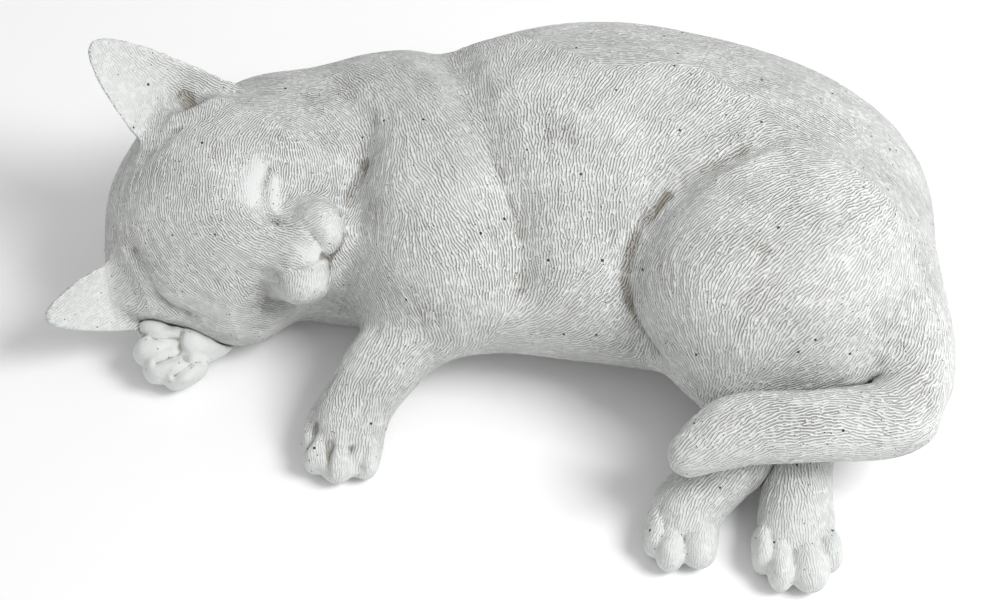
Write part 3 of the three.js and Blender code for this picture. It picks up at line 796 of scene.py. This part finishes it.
# %% Hairs
HAIR_CELL = 3.6
HAIR_SPACING = 1.35
FINE_HAIR_SHARE = 0.85
KNOT_SIDE = 32
KNOTS = 3
KNOT_LEAN = 0.22
HEAD_HAIR_START = -50
HEAD_HAIR_FADE = 30
KNOT_GRID = (KNOT_SIDE, KNOT_SIDE, KNOT_SIDE, KNOTS)
knot_random = np.random.default_rng(5)
KNOT_PLACES = knot_random.random((*KNOT_GRID, 3))
KNOT_SIGNS = knot_random.choice([-1, 1], KNOT_GRID)
KNOT_LEANS = knot_random.uniform(-KNOT_LEAN, KNOT_LEAN, KNOT_GRID)


def grow_hairs(skin, lie):
    """Waves across the lie of the fur. Every cell of space holds a few knots, and each knot sends out a
    short wave. Where the waves meet they add up, so that hairs run side by side, merge and end."""
    on_head = ease((HEAD_HAIR_START - skin.points[:, :1]) / HEAD_HAIR_FADE)
    on_feet = toes(skin.points)[:, None]
    spacing = HAIR_SPACING * (1 + np.maximum(on_head, on_feet) * (FINE_HAIR_SHARE - 1))
    skin.turn = np.cross(skin.normals(), lie) * (math.tau / spacing)
    along = lie * (math.tau / spacing)
    spots = skin.points / HAIR_CELL
    cells = np.floor(spots).astype(int)
    wave = np.zeros(skin.count, complex)
    for step in np.ndindex(3, 3, 3):
        beside = cells + np.array(step) - 1
        x, y, z = (beside % KNOT_SIDE).T
        for n in range(KNOTS):
            away = spots - beside - KNOT_PLACES[x, y, z, n]
            reach = (away ** 2).sum(axis=1)
            met = np.flatnonzero(reach < 1)
            lean = KNOT_LEANS[x[met], y[met], z[met], n, None]
            angle = HAIR_CELL * (away[met] * (skin.turn[met] + lean * along[met])).sum(axis=1)
            fade = (1 - reach[met]) ** 2 * np.exp(-math.pi * reach[met])
            wave[met] += KNOT_SIGNS[x[met], y[met], z[met], n] * fade * np.exp(1j * angle)
    skin.hair = np.angle(wave)


print("hairs", HAIR_SPACING, "mm apart")

# %% Combing
FUR_DEPTH = 0.16
STROKE_SPACING = 3.0
STROKE_LENGTH = 12
FINE_CREASE = (14, 0.5)
BROAD_CREASE = (60, 2.0)
LOCK_CONTRAST = 1.3
LOCK_FULLNESS = 0.3
TOE_SMOOTHNESS = 0.7


def comb(skin, smooth_places, places_free_of_grime_and_shade=0):
    """Carves locks of fur, and leaves marks of creases, furrows, coat and hairs for the finish."""
    # Crease depth, for painted shade and a little brown grime in the finish; fainter on the face.
    crease = np.maximum(hollows(skin, *FINE_CREASE), hollows(skin, *BROAD_CREASE)) * (1 - places_free_of_grime_and_shade)
    lie = lie_of_fur(skin)
    grow_hairs(skin, lie)
    locks = strokes(skin, lie, STROKE_SPACING, STROKE_LENGTH) + LOCK_FULLNESS
    profile = np.tanh(LOCK_CONTRAST * locks)
    coat = 1 - np.clip(smooth_places + TOE_SMOOTHNESS * toes(skin.points), 0, 1)
    skin.push(FUR_DEPTH * coat * profile)
    skin.marks = {"crease": crease, "furrow": -coat * profile, "coat": coat}
    skin.write()
    print("combed", skin.count, "points")


smooth_share = lid_share + 0.9 * nose_share + 0.75 * pad_share + 0.65 * ear_share
comb(body, smooth_share, places_free_of_grime_and_shade=0.8 * face_free_of_grime_and_shade)

# %% [markdown]
# ## Cast stone
#
# The stone is a cool off-white with faint clouds, and peppered with air-bubble pits. Creases and furrows are
# darker and browner, with a little brown grime and painted shade; the narrow grooves between the hairs are
# darkened with painted shade, and the pits are painted dark with the shade inside them. The skin carries its
# own depth as attributes, so the grime and the painted shade go where the carving is. The cosine of the hair
# phase gives round ridges with narrow grooves between them, and two noises wear the strokes thin and break
# them up, as a hand-carved coat is never even.

# %% Stone finish
STONE_PALE = (0.83, 0.85, 0.835, 1)
STONE_GREY = (0.71, 0.73, 0.715, 1)
# Brown grime and painted shade, one colour for creases, furrows and hair grooves.
GRIME_AND_SHADE = (0.23, 0.20, 0.16, 1)
# Painted shade inside the air-bubble pits.
PIT_SHADE = (0.06, 0.055, 0.05, 1)
CLOUDS = {"scale": 28, "detail": 4.0}
PATCHES = {"scale": 60, "detail": 3.0}
WEAR = {"scale": 45}
BREAKS = {"scale": 420, "detail": 1.0}
GLOSS = {"scale": 400}
GRIT = {"scale": 1800, "detail": 3.0}
BIG_PITS = {"scale": 90, "radius": 0.0007}
SMALL_PITS = {"scale": 300, "radius": 0.00032}
GRIT_HEIGHT = 0.2
PIT_DEPTH = 1.5
CARVING_DEPTH = 0.0011
STONE_SHINE = 0.3
stone_material, stone = new_material("carved_cast_stone")
where = stone.node("ShaderNodeTexCoord", output="Object")


def stone_noise(scale, detail=2.0):
    sockets = {"Vector": where, "Scale": scale, "Detail": detail}
    return stone.node("ShaderNodeTexNoise", sockets=sockets)


def pits(scale, radius):
    """Round spots of one size, scattered through the stone."""
    seeds = stone.node("ShaderNodeTexVoronoi", sockets={"Vector": where, "Scale": scale})
    return 1 - stone.between(seeds, 0.7 * radius * scale, radius * scale)


def skin_mark(name):
    return stone.node("ShaderNodeAttribute", {"attribute_name": name}, output="Fac")


crease_mark = skin_mark("crease")
furrow_mark = skin_mark("furrow")
coat_mark = skin_mark("coat")
clouds = stone.between(stone_noise(**CLOUDS), 0.35, 0.7)
stone_tone = stone.mix(clouds * coat_mark + (1 - coat_mark), STONE_PALE, STONE_GREY)
patchy = stone.between(stone_noise(**PATCHES), 0.4, 0.75)
hair = 0.5 + 0.5 * stone.node("ShaderNodeMath", {"operation": "COSINE"}, {0: skin_mark("hair")})
worn = 0.7 + 0.3 * stone.between(stone_noise(**WEAR), 0.35, 0.6)
stroke = (0.45 + 0.55 * stone.between(stone_noise(**BREAKS), 0.36, 0.54)) * worn * coat_mark
ridge = 1 - (1 - stone.between(hair, 0, 0.8)) * stroke
groove = (1 - stone.between(hair, 0.02, 0.24)) * stroke
# Painted shade with a little brown grime in the furrows between the locks.
furrow_grime_and_shade = stone.between(furrow_mark, 0.2, 1.0) * (0.06 + 0.14 * patchy)
# Painted shade in the narrow grooves between the hairs.
groove_shade = groove * (0.39 + 0.38 * patchy)
# Painted shade with a little brown grime in the creases, darkest in the deepest hollows.
crease_grime_and_shade = stone.between(crease_mark, 0.35, 1.0) * (0.35 + 0.5 * patchy)
# The stone tone with painted shade and grime mixed in.
grimy_and_shaded_tone = stone.mix(furrow_grime_and_shade + groove_shade + crease_grime_and_shade, stone_tone, GRIME_AND_SHADE)
pit_share = pits(**BIG_PITS) + pits(**SMALL_PITS)
# The pits are painted dark as the shade inside them; their depth is in the bump too.
pit_shaded_tone = stone.mix(pit_share, grimy_and_shaded_tone, PIT_SHADE)
rough = 0.82 + 0.14 * stone_noise(**GLOSS)
relief = ridge + GRIT_HEIGHT * stone_noise(**GRIT) - PIT_DEPTH * pit_share
stone_bump = stone.node(
    "ShaderNodeBump",
    sockets={"Strength": 1.0, "Distance": CARVING_DEPTH, "Height": relief},
)
stone_face = stone.node(
    "ShaderNodeBsdfPrincipled",
    sockets={
        "Base Color": pit_shaded_tone,
        "Roughness": rough,
        "Normal": stone_bump,
        "Specular IOR Level": STONE_SHINE,
    },
)
stone.node("ShaderNodeOutputMaterial", sockets={"Surface": stone_face})
print("stone finish", len(stone.tree.nodes), "nodes")

# %% [markdown]
# ## Parting the skin
#
# The fused skin now becomes castings again. First the underside is cut flat on the resting plane and
# filled. Then every joint cuts the skin along its plane and the cut is split open, so each casting is a
# loose island. A boolean would do this too, but a plane cut keeps the skin's points and attributes.

# %% Underside
CUT_SLACK = 1e-7


def flat_underside(mesh):
    """Cuts a skin at the resting plane, fills the cut, and returns it as a bmesh."""
    shape = bmesh.new()
    shape.from_mesh(mesh)
    everything = [*shape.verts, *shape.edges, *shape.faces]
    bmesh.ops.bisect_plane(
        shape, geom=everything, dist=CUT_SLACK, plane_co=(0, 0, 0), plane_no=(0, 0, 1), clear_inner=True
    )
    rim = [edge for edge in shape.edges if edge.is_boundary]
    filled = bmesh.ops.holes_fill(shape, edges=rim, sides=0)["faces"]
    bmesh.ops.triangulate(shape, faces=filled)
    return shape


print("underside cut ready")

# %% [markdown]
# ## Cutting along a joint
#
# Only the faces that a joint's plane passes through, near the joint, are cut, so that the plane leaves the
# rest of the figure alone. A flat seam is the edges between faces on opposite sides of the plane. The tail
# lies along the thigh, where a plane isn't enough, so its seam is found by walking over it from its tip.


# %% Cuts
def straddling(mesh, name):
    """Faces that a joint's plane passes through, within its reach."""
    flat = np.empty(len(mesh.vertices) * 3, np.float32)
    mesh.vertices.foreach_get("co", flat)
    points = (flat.reshape(-1, 3).astype(float) - np.array(ORIGIN)) / MM
    depth, reached = at_joint(points, name)
    corners = np.empty(len(mesh.loops), np.int32)
    mesh.loops.foreach_get("vertex_index", corners)
    first = np.empty(len(mesh.polygons), np.int32)
    mesh.polygons.foreach_get("loop_start", first)
    low = np.minimum.reduceat(depth[corners], first)
    high = np.maximum.reduceat(depth[corners], first)
    found = np.maximum.reduceat(reached[corners].astype(int), first) > 0
    return np.flatnonzero((low <= 0) & (high >= 0) & found)


def tail_seam(shape):
    """The edges round the tail, found by walking from its tip while the skin stays close to its axis."""
    faces = list(shape.faces)
    centres = np.array([face.calc_center_median() for face in faces])
    points = (centres - np.array(ORIGIN)) / MM
    close = (above_tail(points) < TAIL_REACH) & (at_joint(points, "tail")[0] > 0)
    allowed = {faces[n] for n in np.flatnonzero(close)}
    tip = faces[np.argmin(np.linalg.norm(points - TAIL_AXIS[-1], axis=1))]
    tail, waiting = {tip}, [tip]
    while waiting:
        for edge in waiting.pop().edges:
            for face in allowed.intersection(edge.link_faces).difference(tail):
                tail.add(face)
                waiting.append(face)
    rim = {edge for face in tail for edge in face.edges if not tail.issuperset(edge.link_faces)}
    return list(rim)


def flat_seam(cut, middle, across):
    """The edges whose two faces lie on opposite sides of a cut."""
    edges = {edge for part in cut for face in part.link_faces for edge in face.edges}

    def parts(edge):
        depths = [(face.calc_center_median() - middle).dot(across) for face in edge.link_faces]
        return len(depths) == 2 and depths[0] * depths[1] < 0

    return [edge for edge in edges if parts(edge)]


def parted(shape, names):
    """Splits a skin open along joints."""
    mesh = bpy.data.meshes.new("parted_skin")
    for name in names:
        shape.to_mesh(mesh)
        shape.faces.ensure_lookup_table()
        faces = [shape.faces[n] for n in straddling(mesh, name)]
        edges = {edge for face in faces for edge in face.edges}
        verts = {vert for face in faces for vert in face.verts}
        middle, across = place(*JOINTS[name][0]), Vector(JOINTS[name][1]).normalized()
        cut = bmesh.ops.bisect_plane(
            shape, geom=[*verts, *edges, *faces], dist=CUT_SLACK, plane_co=middle, plane_no=across
        )["geom_cut"]
        seam = tail_seam(shape) if name == "tail" else flat_seam(cut, middle, across)
        bmesh.ops.split_edges(shape, edges=seam)
        print("cut", name, len(seam), "edges")
    shape.to_mesh(mesh)
    shape.free()
    return mesh


parted_mesh = parted(flat_underside(body_mesh), list(JOINTS))

# %% [markdown]
# ## Castings
#
# Each loose island is capped with flat faces at its joints, given the stone finish, and takes the place of
# the node whose box it fits best. Crumbs, a few faces left over by a cut, are thrown away.


# %% Castings
def capped(mesh):
    """Closes the flat joints of one casting."""
    shape = bmesh.new()
    shape.from_mesh(mesh)
    rim = [edge for edge in shape.edges if edge.is_boundary]
    filled = bmesh.ops.holes_fill(shape, edges=rim, sides=0)["faces"]
    bmesh.ops.triangulate(shape, faces=filled)
    bmesh.ops.recalc_face_normals(shape, faces=shape.faces)
    triangles = sum(len(face.verts) - 2 for face in shape.faces)
    shape.to_mesh(mesh)
    shape.free()
    mesh.polygons.foreach_set("use_smooth", [True] * len(mesh.polygons))
    return triangles


def casting_for(piece):
    """The node whose box fits a piece best."""
    corners = np.array([corner[:] for corner in piece.bound_box])
    own = np.array([corners.min(axis=0), corners.max(axis=0)])

    def misfit(name):
        return np.abs(own - np.array(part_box(name))).sum()

    return min(castings, key=misfit)


def finish_casting(piece):
    name = casting_for(piece)
    triangles = capped(piece.data)
    piece.name = piece.data.name = "carved_" + name
    piece.data.materials.clear()
    piece.data.materials.append(stone_material)
    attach(piece, "root")
    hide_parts(name)
    print(piece.name, triangles, "triangles")


def loose_islands(mesh):
    """The parts of a skin that hang together, each as an object."""
    whole = bpy.data.objects.new("parted_skin", mesh)
    bpy.context.scene.collection.objects.link(whole)
    bpy.ops.object.select_all(action="DESELECT")
    whole.select_set(True)
    bpy.context.view_layer.objects.active = whole
    bpy.ops.mesh.separate(type="LOOSE")
    return list(bpy.context.selected_objects)


CRUMB = 200
for island in loose_islands(parted_mesh):
    if len(island.data.polygons) < CRUMB:
        bpy.data.objects.remove(island)
    else:
        finish_casting(island)

# %% [markdown]
# ## Paws that lie free
#
# Three paws only touch their neighbours, so each has a skin of its own, smoothed and combed the same way.
# The paw under the head is turned up: round toe pads and a palm pad stand out of it, with gouge lines between
# them, and the whole of it is nearly bare of fur.

# %% Free paws
UPTURNED_PAW = "right_foreleg"
PAW_TIMES = 6
PAD_RUBS = 4
PAD_SMOOTHNESS = 0.95
TOE_PADS = [(-151, -6, 25), (-150, -13, 22), (-145, -20, 19), (-139, -24, 16)]
PALM_PAD = [(-135, -9, 24), (-131, -8, 21)]
PAD_STROKES = [([pad, pad], 6, 1.2) for pad in TOE_PADS] + [
    (PALM_PAD, 8, 1.2),
    ([(-160, -5, 21), (-153, -9, 25), (-145, -9, 24)], 2.8, -2.0),
    ([(-152, -20, 21), (-147, -18, 21), (-143, -16, 21)], 2.8, -2.0),
    ([(-144, -25, 17), (-140, -23, 19), (-137, -20, 19)], 2.8, -2.0),
    ([(-142, -6, 27), (-143, -12, 23), (-140, -16, 21), (-136, -18, 19), (-129, -15, 16)], 3.0, -2.2),
]
for name in FREE_PAWS:
    paw = Skin(fused([name], PAW_VOXEL))
    paw.relax(PAW_TIMES)
    if name == UPTURNED_PAW:
        carve(paw, PAD_STROKES)
        paw.relax(PAD_RUBS)
    comb(paw, np.full(paw.count, PAD_SMOOTHNESS if name == UPTURNED_PAW else 0.0))
    paw_shape = flat_underside(paw.mesh)
    paw_mesh = bpy.data.meshes.new(name)
    paw_shape.to_mesh(paw_mesh)
    paw_shape.free()
    paw_piece = bpy.data.objects.new(name, paw_mesh)
    bpy.context.scene.collection.objects.link(paw_piece)
    finish_casting(paw_piece)

# %% [markdown]
# ## Dowels
#
# The dowels hold the castings together and stay hidden in them. Their solids are right as they are, so they
# only get the look of drawn steel rod: a bright metal, faintly mottled.

# %% Dowels
STEEL_DARK = (0.52, 0.53, 0.54, 1)
STEEL_PALE = (0.66, 0.67, 0.68, 1)
steel_material, steel = new_material("drawn_steel")
steel_where = steel.node("ShaderNodeTexCoord", output="Object")
steel_noise = steel.node("ShaderNodeTexNoise", sockets={"Vector": steel_where, "Scale": 300, "Detail": 3})
steel_tone = steel.mix(steel_noise, STEEL_DARK, STEEL_PALE)
steel_face = steel.node(
    "ShaderNodeBsdfPrincipled",
    sockets={"Base Color": steel_tone, "Metallic": 1.0, "Roughness": 0.3 + 0.2 * steel_noise},
)
steel.node("ShaderNodeOutputMaterial", sockets={"Surface": steel_face})
for name, node in castings.items():
    if name.endswith(("dowel", "pin")):
        node.data.materials.clear()
        node.data.materials.append(steel_material)
print("dowels in steel")
